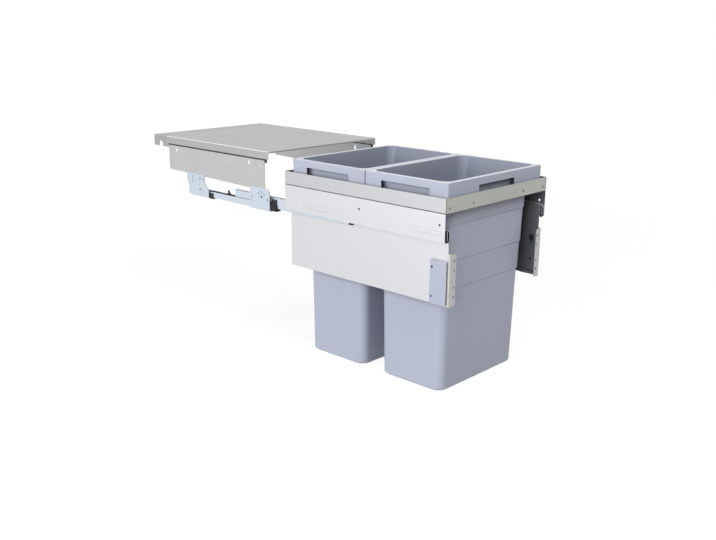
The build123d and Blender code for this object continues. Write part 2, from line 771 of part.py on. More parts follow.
def bin_levels():
    """Height and half sizes of the bin body, from the mouth down; each step is a short slope."""
    rim_x = half_frame - bin_side_gap
    depth = frame_depth - bin_front_gap - bin_gap - bin_rear_gap
    rim_y = depth / 4
    mouth_in = rim_flange - wall
    levels = [(rim_top, rim_x - mouth_in, rim_y - mouth_in)]
    neck = rim_top - mouth_drop
    levels.append((neck, rim_x - neck_half_inset, rim_y - (neck_half_inset + shoulder_end_inset) / 2
                   + step_in))
    x, y, z = rim_x - shoulder_side_inset, rim_y - shoulder_end_inset, rim_top - neck_drop
    levels.append((z, x, y))
    for drop in step_drops:
        fall = z - (rim_top - drop)
        x, y, z = x - fall * body_taper, y - fall * body_taper, z - fall
        levels.append((z, x, y))
        x, y, z = x - step_in, y - step_in, z - step_height
        levels.append((z, x, y))
    fall = z - bin_bottom - bottom_round
    x, y, z = x - fall * body_taper, y - fall * body_taper, z - fall
    levels.append((z, x, y))
    for angle in (30, 60, 90):
        inward = bottom_round * (1 - math.cos(math.radians(angle)))
        down = bottom_round * math.sin(math.radians(angle))
        levels.append((z - down, x - inward, y - inward))
    return rim_x, rim_y, levels


def stack(levels, radius):
    """Tapered rounded blocks between each level and the next."""
    body = Part()
    for (z0, x0, y0), (z1, x1, y1) in zip(levels, levels[1:]):
        if z0 > z1:
            upper = Plane.XY.offset(z0) * RectangleRounded(2 * x0, 2 * y0, radius)
            lower = Plane.XY.offset(z1) * RectangleRounded(2 * x1, 2 * y1, radius)
            body += loft([lower, upper], ruled=True)
    return body


def waste_bin():
    """A moulded bin about the middle of its rim: stepped tapered body, flared mouth, rim skirt."""
    rim_x, rim_y, levels = bin_levels()
    skirt_bottom_z = band_bottom + sheet + seat_gap
    rim = along_z(RectangleRounded(2 * rim_x, 2 * rim_y, rim_corner), skirt_bottom_z, rim_top)
    rim = chamfer(rim.faces().sort_by(Axis.Z)[-1].edges(), rim_bevel)
    hollow = RectangleRounded(2 * (rim_x - wall), 2 * (rim_y - wall), rim_corner - wall)
    rim -= along_z(hollow, skirt_bottom_z - cut_over, rim_top - wall)
    body = stack(levels, body_corner)
    inside = [(z, x - wall, y - wall) for z, x, y in levels[:-3]]
    z, x, y = inside[-1]
    inside[-1] = (bin_bottom + floor_thickness, x, y)
    space = stack(inside, body_corner - wall)
    top_z, top_x, top_y = inside[0]
    mouth = along_z(RectangleRounded(2 * top_x, 2 * top_y, body_corner - wall), top_z, top_z + cut_over)
    shell = rim + body - space - mouth
    grip_z = rim_top - grip_top
    deep = wall + rim_bevel
    side = block(-rim_x - cut_over, -rim_x + deep, -grip_width / 2, grip_width / 2,
                 skirt_bottom_z - cut_over, grip_z)
    end = block(-grip_width / 2, grip_width / 2, -rim_y - cut_over, -rim_y + deep,
                skirt_bottom_z - cut_over, grip_z)
    for cutter in (side, end):
        shell -= cutter
        shell -= mirror(cutter, about=Plane.YZ if cutter is side else Plane.XZ)
    return shell


def bins():
    """The two bins in their places in the frame."""
    _, rim_y, _ = bin_levels()
    made = waste_bin()
    first = frame_front + bin_front_gap + rim_y
    second = first + 2 * rim_y + bin_gap
    return {"front_bin": Pos(0, first, 0) * made, "rear_bin": Pos(0, second, 0) * made}


def both_sides(name, made):
    """A left piece and its mirror image on the right."""
    pieces = made if isinstance(made, list) else [made]
    mirrored = [mirror(piece, about=Plane.YZ) for piece in pieces]
    return {f"{name}_left": pieces, f"{name}_right": mirrored}


def all_nodes():
    nodes = {}
    nodes |= both_sides("cabinet_rail", cabinet_rail())
    nodes |= both_sides("front_wall_bracket", front_bracket())
    nodes |= both_sides("rear_wall_bracket", rear_bracket())
    nodes |= both_sides("front_guide", front_guide())
    nodes |= both_sides("rear_guide", rear_guide())
    nodes |= both_sides("catch_track", catch_track())
    nodes |= both_sides("pull_in_catch", catch())
    nodes |= both_sides("intermediate_rail", intermediate_rail())
    nodes |= both_sides("intermediate_end_cap", intermediate_end_cap())
    nodes |= both_sides("lower_ball_cage", cage(lower_cage_start(), lower_cage_length, lower_row, False))
    nodes |= both_sides("lower_balls", balls(lower_cage_start(), lower_cage_length, lower_row))
    nodes |= both_sides("upper_ball_cage", cage(upper_cage_start(), upper_cage_length, upper_row, True))
    nodes |= both_sides("upper_balls", balls(upper_cage_start(), upper_cage_length, upper_row))
    nodes |= both_sides("drawer_rail", drawer_rail())
    nodes |= both_sides("side_band", side_band())
    nodes |= both_sides("outer_side_panel", outer_panel())
    nodes |= both_sides("inner_side_panel", inner_panel())
    nodes |= both_sides("door_bracket", door_bracket())
    nodes |= both_sides("bracket_cover", bracket_cover())
    nodes |= both_sides("cover_screws", cover_screws())
    nodes |= both_sides("lid_side_plate", lid_side_plate())
    nodes |= both_sides("lid_buffers", lid_buffers())
    nodes["front_rail"] = [front_rail()]
    nodes["rear_rail"] = [end_rail(frame_rear, -1)]
    nodes["lid_panel"] = [lid_panel()]
    nodes["lid_rear_strip"] = [lid_rear_strip()]
    nodes |= {name: [made] for name, made in bins().items()}
    return nodes


os.makedirs("parts", exist_ok=True)
for name, pieces in all_nodes().items():
    solids = [solid for piece in pieces for solid in piece.solids()]
    shape = solids[0] if len(solids) == 1 else Compound(children=solids)
    export_step(shape, f"parts/{name}.step")
    print(name, len(solids))
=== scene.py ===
import math

import bmesh
import bpy
from mathutils import Matrix, Vector


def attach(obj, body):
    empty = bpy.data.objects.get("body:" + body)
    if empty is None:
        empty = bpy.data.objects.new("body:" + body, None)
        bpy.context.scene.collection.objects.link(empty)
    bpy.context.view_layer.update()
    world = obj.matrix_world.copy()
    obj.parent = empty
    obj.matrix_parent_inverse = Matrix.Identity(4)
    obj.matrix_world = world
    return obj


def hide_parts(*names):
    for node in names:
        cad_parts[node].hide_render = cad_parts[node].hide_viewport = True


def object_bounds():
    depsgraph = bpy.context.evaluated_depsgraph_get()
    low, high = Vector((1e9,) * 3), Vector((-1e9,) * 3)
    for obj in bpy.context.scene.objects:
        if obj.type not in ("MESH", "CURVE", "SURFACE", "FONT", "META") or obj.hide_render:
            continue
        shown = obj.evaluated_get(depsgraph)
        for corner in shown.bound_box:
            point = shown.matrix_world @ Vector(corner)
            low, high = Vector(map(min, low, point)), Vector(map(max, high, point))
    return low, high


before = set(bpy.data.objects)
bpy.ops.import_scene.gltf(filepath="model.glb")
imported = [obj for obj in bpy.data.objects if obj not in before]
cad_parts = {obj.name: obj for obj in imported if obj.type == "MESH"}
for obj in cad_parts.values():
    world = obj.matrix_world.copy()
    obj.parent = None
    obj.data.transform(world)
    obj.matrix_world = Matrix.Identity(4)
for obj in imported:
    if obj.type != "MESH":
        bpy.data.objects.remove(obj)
cad_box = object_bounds()


# Lid
# One sheet of silver-lacquered steel folded down at both sides, with a rolled front hem, and a
# narrower strip lapped under its rear edge. It stays in the cabinet over the pushed-in bins.
MM = 0.001
SIDES = ("left", "right")
lid_silver = (0.445, 0.445, 0.443, 1)
lid_shade = (0.40, 0.40, 0.402, 1)
strip_silver = (0.385, 0.385, 0.385, 1)
# The lid's edge colour is a painted highlight along its folds, also used on the plates, strip and
# rivets. Its wide reach on the lid draws the highlight line.
lid_edge_highlight = (0.82, 0.82, 0.82, 1)
lid_metal, lid_roughness = 0.8, 0.42
lid_highlight_reach, strip_wear = 1.5 * MM, 0.6 * MM
lid_relief = 0.01 * MM
# A painted highlight on the faces of the lid's side bends:
lid_bend_painted_highlight = (0.84, 0.84, 0.84, 1)
lid_bend_turn = 0.80
lid_bends = ((-0.707, 0, 0.707), (0.707, 0, 0.707))
lid_grain_stretch = (24, 420, 240)
unshaded_inside = 1.0


def link(tree, source, target):
    """Join an output to an input."""
    tree.links.new(source, target)


def add(tree, kind, **settings):
    """Put a node in a tree and give its settings."""
    made = tree.nodes.new(kind)
    for key, value in settings.items():
        setattr(made, key, value)
    return made


def sum_of(tree, operation, first, second):
    """A calculation on two values, each a socket or a number."""
    made = add(tree, "ShaderNodeMath", operation=operation)
    for place, value in enumerate((first, second)):
        if isinstance(value, bpy.types.NodeSocket):
            link(tree, value, made.inputs[place])
        else:
            made.inputs[place].default_value = value
    return made.outputs[0]


def blend_of(tree, share, first, second):
    """A mix of two colours by a share, each a socket or a colour."""
    made = add(tree, "ShaderNodeMix", data_type="RGBA")
    for place, value in ((0, share), (6, first), (7, second)):
        if isinstance(value, bpy.types.NodeSocket):
            link(tree, value, made.inputs[place])
        else:
            made.inputs[place].default_value = value
    return made.outputs[2]


def new_group(name, inputs, outputs):
    """An empty shader group with named sockets, and its two end nodes."""
    tree = bpy.data.node_groups.new(name, "ShaderNodeTree")
    for label, kind, value in inputs:
        socket = tree.interface.new_socket(label, in_out="INPUT", socket_type=kind)
        if value is not None:
            socket.default_value = value
    for label, kind in outputs:
        tree.interface.new_socket(label, in_out="OUTPUT", socket_type=kind)
    return tree, tree.nodes.new("NodeGroupInput"), tree.nodes.new("NodeGroupOutput")


COLOUR, VALUE, VECTOR = "NodeSocketColor", "NodeSocketFloat", "NodeSocketVector"


def make_worn_and_highlit_edges():
    """A patchy mask where a surface turns a corner: edge wear from handling, and on the lid and
    the bins a painted highlight along their edges.
    """
    least_turned, most_turned = 0.99, 0.80
    tree, start, end = new_group(
        "worn edges and painted highlight",
        [("Reach", VALUE, 0.8 * MM), ("Patchiness", VALUE, 60.0), ("Strength", VALUE, 1.0)],
        [("Mask", VALUE)],
    )
    rounded = add(tree, "ShaderNodeBevel", samples=4)
    link(tree, start.outputs["Reach"], rounded.inputs["Radius"])
    flat = add(tree, "ShaderNodeNewGeometry")
    turn = add(tree, "ShaderNodeVectorMath", operation="DOT_PRODUCT")
    link(tree, rounded.outputs["Normal"], turn.inputs[0])
    link(tree, flat.outputs["Normal"], turn.inputs[1])
    edge_marks = add(tree, "ShaderNodeMapRange", interpolation_type="SMOOTHSTEP")
    edge_marks.inputs["From Min"].default_value = least_turned
    edge_marks.inputs["From Max"].default_value = most_turned
    link(tree, turn.outputs["Value"], edge_marks.inputs["Value"])
    place = add(tree, "ShaderNodeTexCoord")
    patches = add(tree, "ShaderNodeTexNoise")
    patches.inputs["Detail"].default_value = 2
    link(tree, place.outputs["Object"], patches.inputs["Vector"])
    link(tree, start.outputs["Patchiness"], patches.inputs["Scale"])
    rubbed = sum_of(tree, "MULTIPLY", edge_marks.outputs["Result"], patches.outputs["Fac"])
    strong = sum_of(tree, "MULTIPLY", rubbed, start.outputs["Strength"])
    link(tree, sum_of(tree, "MINIMUM", strong, 1), end.inputs["Mask"])
    return tree


def make_rolled_sheet():
    """The fine lines that rolling leaves in sheet, with slow cloudy changes over them."""
    line_share, cloud_share = 0.35, 0.65
    tree, start, end = new_group(
        "rolled sheet",
        [("Colour", COLOUR, None), ("Shade", COLOUR, None), ("Edge colour", COLOUR, None),
         ("Stretch", VECTOR, None), ("Cloud size", VALUE, 6.0), ("Edge mask", VALUE, 0.0),
         ("Roughness", VALUE, 0.4), ("Spread", VALUE, 0.12)],
        [("Colour", COLOUR), ("Roughness", VALUE), ("Height", VALUE)],
    )
    place = add(tree, "ShaderNodeTexCoord")
    turned = add(tree, "ShaderNodeMapping")
    link(tree, place.outputs["Object"], turned.inputs["Vector"])
    link(tree, start.outputs["Stretch"], turned.inputs["Scale"])
    lines = add(tree, "ShaderNodeTexNoise")
    lines.inputs["Scale"].default_value = 1
    lines.inputs["Detail"].default_value = 3
    link(tree, turned.outputs["Vector"], lines.inputs["Vector"])
    clouds = add(tree, "ShaderNodeTexNoise")
    clouds.inputs["Detail"].default_value = 2
    link(tree, place.outputs["Object"], clouds.inputs["Vector"])
    link(tree, start.outputs["Cloud size"], clouds.inputs["Scale"])
    both = sum_of(tree, "ADD", sum_of(tree, "MULTIPLY", lines.outputs["Fac"], line_share),
                  sum_of(tree, "MULTIPLY", clouds.outputs["Fac"], cloud_share))
    sheet = blend_of(tree, both, start.outputs["Colour"], start.outputs["Shade"])
    link(tree, blend_of(tree, start.outputs["Edge mask"], sheet, start.outputs["Edge colour"]),
         end.inputs["Colour"])
    swing = sum_of(tree, "MULTIPLY", sum_of(tree, "SUBTRACT", both, 0.5),
                   start.outputs["Spread"])
    link(tree, sum_of(tree, "ADD", start.outputs["Roughness"], swing), end.inputs["Roughness"])
    link(tree, lines.outputs["Fac"], end.inputs["Height"])
    return tree


worn_and_highlit_edges = make_worn_and_highlit_edges()
rolled_sheet = make_rolled_sheet()


def place_group(tree, group, **values):
    """One use of a group in a material, with its own values."""
    made = add(tree, "ShaderNodeGroup", node_tree=group)
    for label, value in values.items():
        made.inputs[label.replace("_", " ")].default_value = value
    return made


def new_material(name):
    """A new node material, its tree and its shader."""
    material = bpy.data.materials.new(name)
    material.use_nodes = True
    return material, material.node_tree, material.node_tree.nodes["Principled BSDF"]


def add_relief(tree, shader, height, depth):
    """Raise a surface by a height, up to a depth in metres."""
    relief = add(tree, "ShaderNodeBump")
    relief.inputs["Distance"].default_value = depth
    relief.inputs["Strength"].default_value = 1
    link(tree, height, relief.inputs["Height"])
    link(tree, relief.outputs["Normal"], shader.inputs["Normal"])


def sheet_finish(name, colour, shade, edge, roughness, stretch, metal, reach, relief):
    """A finished sheet-steel material."""
    material, tree, shader = new_material(name)
    edge_marks = place_group(tree, worn_and_highlit_edges, Reach=reach)
    skin = place_group(tree, rolled_sheet, Colour=colour, Shade=shade, Edge_colour=edge,
                       Stretch=stretch, Roughness=roughness)
    link(tree, edge_marks.outputs["Mask"], skin.inputs["Edge mask"])
    link(tree, skin.outputs["Colour"], shader.inputs["Base Color"])
    link(tree, skin.outputs["Roughness"], shader.inputs["Roughness"])
    shader.inputs["Metallic"].default_value = metal
    add_relief(tree, shader, skin.outputs["Height"], relief)
    return material


def dress(material, *names):
    """Give CAD pieces their finish."""
    for name in names:
        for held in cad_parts[name].material_slots:
            held.material = material


def both_sides(*names):
    """The names of a piece on the left and on the right."""
    return [f"{name}_{side}" for name in names for side in SIDES]


def make_turned_and_inner_masks():
    """Masks for the faces turned along an axis, and a painted shade for the faces turned towards
    the frame's middle.
    """
    least_inwards = -0.05
    tree, start, end = new_group(
        "turned faces and painted inner shade",
        [("Axis", VECTOR, None), ("Least turn", VALUE, 0.9), ("Inner share", VALUE, 0.5)],
        [("Turned face mask", VALUE), ("Inner painted shade", COLOUR)],
    )
    flat = add(tree, "ShaderNodeNewGeometry")
    across = add(tree, "ShaderNodeVectorMath", operation="DOT_PRODUCT")
    link(tree, flat.outputs["True Normal"], across.inputs[0])
    link(tree, start.outputs["Axis"], across.inputs[1])
    turned = sum_of(tree, "ABSOLUTE", across.outputs["Value"], 0)
    link(tree, sum_of(tree, "GREATER_THAN", turned, start.outputs["Least turn"]),
         end.inputs["Turned face mask"])
    place = add(tree, "ShaderNodeTexCoord")
    place_parts = add(tree, "ShaderNodeSeparateXYZ")
    link(tree, place.outputs["Object"], place_parts.inputs[0])
    facing_parts = add(tree, "ShaderNodeSeparateXYZ")
    link(tree, flat.outputs["True Normal"], facing_parts.inputs[0])
    outwards = sum_of(tree, "MULTIPLY", place_parts.outputs["X"], facing_parts.outputs["X"])
    # Faces turned towards the frame's middle are darkened: painted shade.
    inwards = sum_of(tree, "LESS_THAN", outwards, least_inwards)
    lost = sum_of(tree, "SUBTRACT", 1, start.outputs["Inner share"])
    level = sum_of(tree, "SUBTRACT", 1, sum_of(tree, "MULTIPLY", inwards, lost))
    grey = add(tree, "ShaderNodeCombineColor")
    for label in ("Red", "Green", "Blue"):
        link(tree, level, grey.inputs[label])
    link(tree, grey.outputs["Color"], end.inputs["Inner painted shade"])
    return tree


turned_and_inner_masks = make_turned_and_inner_masks()


def colour_turned_and_inner_faces(material, axis, least_turn, inner_shade_level, turned_colour):
    """Colour a sheet's faces turned along an axis, which are cut edges or bends with painted
    shade or highlight, and put a painted shade on its inward faces.
    """
    tree = material.node_tree
    shader = tree.nodes["Principled BSDF"]
    lacquer = shader.inputs["Base Color"].links[0].from_socket
    bare = place_group(tree, turned_and_inner_masks, Axis=axis, Least_turn=least_turn,
                       Inner_share=inner_shade_level)
    tinted = add(tree, "ShaderNodeMix", data_type="RGBA", blend_type="MULTIPLY")
    tinted.inputs[0].default_value = 1
    link(tree, lacquer, tinted.inputs[6])
    link(tree, bare.outputs["Inner painted shade"], tinted.inputs[7])
    link(tree, blend_of(tree, bare.outputs["Turned face mask"], tinted.outputs[2], turned_colour),
         shader.inputs["Base Color"])


# The lid's edges carry a painted highlight through the edge mask.
lid_finish = sheet_finish("lid silver", lid_silver, lid_shade, lid_edge_highlight, lid_roughness,
                          lid_grain_stretch, lid_metal, lid_highlight_reach, lid_relief)
strip_finish = sheet_finish("lid strip silver", strip_silver, lid_shade, lid_edge_highlight, lid_roughness,
                            lid_grain_stretch, lid_metal, strip_wear, lid_relief)
# Paint a highlight on the faces of the lid's side bends.
for axis in lid_bends:
    colour_turned_and_inner_faces(lid_finish, axis, lid_bend_turn, unshaded_inside, lid_bend_painted_highlight)
dress(lid_finish, "lid_panel")
dress(strip_finish, "lid_rear_strip")


# Lid side plates
# Flat plates of the same silver sheet, hung on two wall screws each through keyholes. The lid
# rests on the rubber edging along their tops.
plate_silver = (0.475, 0.48, 0.49, 1)
plate_shade = (0.52, 0.52, 0.52, 1)
plate_grain_stretch = (420, 24, 24)
plate_wear = 0.6 * MM

plate_finish = sheet_finish("lid plate silver", plate_silver, plate_shade, lid_edge_highlight,
                            lid_roughness, plate_grain_stretch, lid_metal, plate_wear, lid_relief)
dress(plate_finish, *both_sides("lid_side_plate"))


# Lid edging
# Soft black rubber edging pushed over the top of each lid plate. It carries the lid's flange and
# turns down over the plate's front end.
edging_x = (205.6, 207.5, 208.4)
edging_y = (33.5, 42.0, 462.0)
edging_z = (126.0, 131.6, 134.4, 136.0)
edging_round = 0.4
edging_sharp = math.radians(60)
squarely = 0.9
rubber_black = (0.021, 0.021, 0.022, 1)
rubber_dull = (0.05, 0.05, 0.05, 1)
rubber_roughness = 0.72
rubber_wear = 0.8 * MM
rubber_relief = 0.03 * MM
rubber_grain, rubber_haze = 1400, 60


def make_moulded_skin():
    """The fine even grain of a moulded surface, a little dulled in places by handling."""
    tree, start, end = new_group(
        "moulded skin",
        [("Colour", COLOUR, None), ("Dull colour", COLOUR, None), ("Edge colour", COLOUR, None),
         ("Edge mask", VALUE, 0.0), ("Grain size", VALUE, 900.0), ("Haze size", VALUE, 7.0),
         ("Roughness", VALUE, 0.5), ("Spread", VALUE, 0.15)],
        [("Colour", COLOUR), ("Roughness", VALUE), ("Height", VALUE)],
    )
    place = add(tree, "ShaderNodeTexCoord")
    grain = add(tree, "ShaderNodeTexNoise")
    grain.inputs["Detail"].default_value = 1
    link(tree, place.outputs["Object"], grain.inputs["Vector"])
    link(tree, start.outputs["Grain size"], grain.inputs["Scale"])
    haze = add(tree, "ShaderNodeTexNoise")
    haze.inputs["Detail"].default_value = 3
    haze.inputs["Distortion"].default_value = 0.4
    link(tree, place.outputs["Object"], haze.inputs["Vector"])
    link(tree, start.outputs["Haze size"], haze.inputs["Scale"])
    dulled = blend_of(tree, haze.outputs["Fac"], start.outputs["Colour"],
                      start.outputs["Dull colour"])
    link(tree, blend_of(tree, start.outputs["Edge mask"], dulled, start.outputs["Edge colour"]),
         end.inputs["Colour"])
    swing = sum_of(tree, "MULTIPLY", sum_of(tree, "SUBTRACT", haze.outputs["Fac"], 0.5),
                   start.outputs["Spread"])
    link(tree, sum_of(tree, "ADD", start.outputs["Roughness"], swing), end.inputs["Roughness"])
    link(tree, grain.outputs["Fac"], end.inputs["Height"])
    return tree


moulded_skin = make_moulded_skin()


def moulded_finish(name, colour, dull, edge, roughness, reach, grain, relief, haze,
                   edge_strength=1.0, shine=0.5):
    """A finished plastic or rubber material."""
    material, tree, shader = new_material(name)
    shader.inputs["Specular IOR Level"].default_value = shine
    edge_marks = place_group(tree, worn_and_highlit_edges, Reach=reach, Strength=edge_strength)
    skin = place_group(tree, moulded_skin, Colour=colour, Dull_colour=dull, Edge_colour=edge,
                       Grain_size=grain, Haze_size=haze, Roughness=roughness)
    link(tree, edge_marks.outputs["Mask"], skin.inputs["Edge mask"])
    link(tree, skin.outputs["Colour"], shader.inputs["Base Color"])
    link(tree, skin.outputs["Roughness"], shader.inputs["Roughness"])
    add_relief(tree, shader, skin.outputs["Height"], relief)
    return material


def new_piece(name, shape, material, body):
    """Turn a finished bmesh into a piece that rides on a body."""
    mesh = bpy.data.meshes.new(name)
    shape.to_mesh(mesh)
    shape.free()
    mesh.materials.append(material)
    piece = bpy.data.objects.new(name, mesh)
    bpy.context.scene.collection.objects.link(piece)
    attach(piece, body)
    return piece


def add_block(shape, size, middle):
    """Put a block in a shape, by its size and its middle in millimetres."""
    made = bmesh.ops.create_cube(shape, size=1)["verts"]
    bmesh.ops.scale(shape, verts=made, vec=Vector(size) * MM)
    bmesh.ops.translate(shape, verts=made, vec=Vector(middle) * MM)


def pull_out(shape, faces, by):
    """Draw joined faces out of a shape, in metres, and leave nothing behind inside it."""
    grown = bmesh.ops.extrude_face_region(shape, geom=faces)["geom"]
    corners = [part for part in grown if isinstance(part, bmesh.types.BMVert)]
    bmesh.ops.translate(shape, verts=corners, vec=by)
    bmesh.ops.delete(shape, geom=faces, context="FACES")
    return [part for part in grown if isinstance(part, bmesh.types.BMFace)]


def round_off(shape, edges, width, segments, clamp=False):
    """Round edges to a width in millimetres."""
    bmesh.ops.bevel(shape, geom=edges, offset=width * MM, offset_type="OFFSET", affect="EDGES",
                    segments=segments, profile=0.5, material=-1, clamp_overlap=clamp)


rubber_finish = moulded_finish("edging rubber", rubber_black, rubber_dull, rubber_dull,
                               rubber_roughness, rubber_wear, rubber_grain, rubber_relief,
                               rubber_haze)
dress(rubber_finish, *both_sides("lid_buffers"))
for side in SIDES:
    shape = bmesh.new()
    low = Vector((edging_x[0], edging_y[0], edging_z[2]))
    high = Vector((edging_x[2], edging_y[2], edging_z[3]))
    add_block(shape, high - low, (high + low) / 2)
    for place, normal in (((edging_x[1], 0, 0), (1, 0, 0)), ((0, edging_y[1], 0), (0, 1, 0))):
        bmesh.ops.bisect_plane(shape, geom=shape.verts[:] + shape.edges[:] + shape.faces[:],
                               plane_co=Vector(place) * MM, plane_no=normal)
    for end_z, only_front in ((edging_z[1], False), (edging_z[0], True)):
        bottom = min(face.calc_center_median().z for face in shape.faces)
        sole = []
        for face in shape.faces:
            centre = face.calc_center_median()
            is_low = face.normal.z < -squarely and centre.z < bottom + edging_round * MM
            is_wall = centre.x > edging_x[1] * MM and not only_front
            if is_low and (centre.y < edging_y[1] * MM or is_wall):
                sole.append(face)
        depth = end_z * MM - sole[0].calc_center_median().z
        pull_out(shape, sole, (0, 0, depth))
    sharp = [edge for edge in shape.edges if edge.calc_face_angle(0) > edging_sharp]
    round_off(shape, sharp, edging_round, 2, clamp=True)
    if side == "left":
        bmesh.ops.scale(shape, verts=shape.verts, vec=(-1, 1, 1))
        bmesh.ops.reverse_faces(shape, faces=shape.faces)
    edging = new_piece(f"lid_edging_{side}", shape, rubber_finish, "cabinet_side")
    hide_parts(f"lid_buffers_{side}")


# Stub rivets in the lid plates
# Short steel rivets pressed through each lid plate, three to a side. Their flush, slightly dished
# heads show as small pale rounds.
OUTWARD = {"left": -1, "right": 1}
stub_places = ((396, 116), (197, 113), (60, 116))
stub_middle_x = 207.0
stub_radius = 2.9
stub_length = 1.7
stub_sides = 20
stub_inset = 0.9
stub_dish = -0.12
stub_edge = 0.15
stub_bright = (0.72, 0.72, 0.73, 1)
stub_grain_stretch = (240, 240, 240)
stub_wear = 0.4 * MM


def add_round(shape, middle, radius, length, sides):
    """Put a short round bar in a shape, lying across the frame, in millimetres."""
    place = Vector(middle) * MM
    turned = Matrix.Translation(place) @ Matrix.Rotation(math.pi / 2, 4, "Y")
    bmesh.ops.create_cone(shape, cap_ends=True, segments=sides, radius1=radius * MM,
                          radius2=radius * MM, depth=length * MM, matrix=turned)


stub_finish = sheet_finish("stub rivet steel", stub_bright, plate_shade, lid_edge_highlight,
                           lid_roughness, stub_grain_stretch, lid_metal, stub_wear, lid_relief)
for side in SIDES:
    shape = bmesh.new()
    for y, z in stub_places:
        middle = (OUTWARD[side] * stub_middle_x, y, z)
        add_round(shape, middle, stub_radius, stub_length, stub_sides)
    ends = [face for face in shape.faces if abs(face.normal.x) > squarely]
    rims = list(dict.fromkeys(edge for face in ends for edge in face.edges))
    round_off(shape, rims, stub_edge, 2)
    ends = [face for face in shape.faces if len(face.verts) == stub_sides]
    bmesh.ops.inset_individual(shape, faces=ends, thickness=stub_inset * MM,
                               depth=stub_dish * MM)
    new_piece(f"lid_plate_stub_rivets_{side}", shape, stub_finish, "cabinet_side")


# Wall brackets
# Blue-bright zinc-plated steel plates with pressed slots, screwed to the cabinet's wall. Each
# turns in at its foot to carry the slide.
zinc_bright = (0.62, 0.70, 0.785, 1)
zinc_grey = (0.52, 0.59, 0.665, 1)
zinc_edge = (0.78, 0.83, 0.88, 1)
zinc_metal, zinc_roughness = 0.85, 0.34
zinc_grain_stretch = (60, 60, 60)
zinc_wear = 0.7 * MM
zinc_relief = 0.015 * MM

zinc_finish = sheet_finish("bright zinc", zinc_bright, zinc_grey, zinc_edge, zinc_roughness,
                           zinc_grain_stretch, zinc_metal, zinc_wear, zinc_relief)
dress(zinc_finish, *both_sides("front_wall_bracket", "rear_wall_bracket"))


# Slide rails
# Three nested rails of cold-rolled strip, zinc plated after rolling. The lines of the rolling
# run along them, and the balls polish their grooves.
rail_bright = (0.64, 0.71, 0.79, 1)
rail_grey = (0.53, 0.585, 0.66, 1)
rail_roughness = 0.36
rail_grain_stretch = (900, 12, 900)
rail_wear = 0.6 * MM
rail_relief = 0.01 * MM

rail_finish = sheet_finish("rolled zinc strip", rail_bright, rail_grey, zinc_edge, rail_roughness,
                           rail_grain_stretch, zinc_metal, rail_wear, rail_relief)
dress(rail_finish, *both_sides("cabinet_rail", "intermediate_rail", "drawer_rail"))


# Slide plastics
# Acetal guides, end caps, catch and catch track, and the glass-filled ball cages. All are
# moulded in black with a slight sheen where they rub.
acetal_black = (0.018, 0.018, 0.020, 1)
acetal_dull = (0.034, 0.034, 0.037, 1)
acetal_edge = (0.075, 0.075, 0.08, 1)
acetal_roughness, acetal_shine = 0.46, 0.22
acetal_wear = 0.7 * MM
acetal_grain, acetal_haze = 1100, 40
acetal_relief = 0.02 * MM
cage_black = (0.05, 0.05, 0.055, 1)
cage_dull = (0.08, 0.08, 0.085, 1)
cage_edge = (0.12, 0.12, 0.12, 1)
cage_roughness = 0.55
cage_wear = 0.5 * MM
cage_grain, cage_haze = 1300, 50

acetal_finish = moulded_finish("black acetal", acetal_black, acetal_dull, acetal_edge,
                               acetal_roughness, acetal_wear, acetal_grain, acetal_relief,
                               acetal_haze, shine=acetal_shine)
cage_finish = moulded_finish("cage plastic", cage_black, cage_dull, cage_edge, cage_roughness,
                             cage_wear, cage_grain, acetal_relief, cage_haze)
dress(acetal_finish, *both_sides("front_guide", "rear_guide", "intermediate_end_cap",
                                 "catch_track", "pull_in_catch"))
dress(cage_finish, *both_sides("upper_ball_cage", "lower_ball_cage"))


# Front stops
# A black moulded block pushed into the front end of each drawer rail, with a foot that hangs
# just below it and a bent steel strip let into its face. It keeps the ball cage in.
stop_core = ((189.6, 201.0), (-556.0, -550.6), (17.4, 41.2))
stop_foot = ((191.5, 200.6), (-555.7, -550.9), (13.0, 18.2))
stop_rim = 1.0
stop_channel_sheet = 1.9
stop_channel_proud = 1.1
stop_pocket_depth = -1.4
stop_round = 0.35

for side in SIDES:
    shape = bmesh.new()
    for block in (stop_core, stop_foot):
        low, high = (Vector(ends) for ends in zip(*block))
        middle = (low + high) / 2
        middle.x *= OUTWARD[side]
        add_block(shape, high - low, middle)
    round_off(shape, shape.edges[:], stop_round / 2, 2, clamp=True)
    front = max((face for face in shape.faces if face.normal.y < -squarely),
                key=lambda face: face.calc_area())
    bmesh.ops.inset_individual(shape, faces=[front], thickness=stop_rim * MM)
    ring = bmesh.ops.inset_individual(shape, faces=[front],
                                      thickness=stop_channel_sheet * MM)["faces"]
    lowest = min(ring, key=lambda face: face.calc_center_median().z)
    channel = [face for face in ring if face is not lowest]
    for face in pull_out(shape, channel, (0, -stop_channel_proud * MM, 0)):
        face.material_index = 1
    bmesh.ops.inset_individual(shape, faces=[front], thickness=stop_round * MM,
                               depth=stop_pocket_depth * MM)
    stop = new_piece(f"drawer_rail_front_stop_{side}", shape, acetal_finish, "frame")
    stop.data.materials.append(rail_finish)


# Balls
# Hardened, ground and polished bearing balls, free to roll in the pockets of the cages. They run
# in the grooves of the rails.
ball_bright = (0.80, 0.80, 0.82, 1)
ball_grey = (0.66, 0.66, 0.69, 1)
ball_edge = (0.9, 0.9, 0.9, 1)
ball_roughness, ball_spread = 0.14, 0.1
ball_grain_stretch, ball_clouds = (900, 300, 900), 400
ball_relief = 0.002 * MM
ball_subdivisions = 3
joined_within = 0.01 * MM


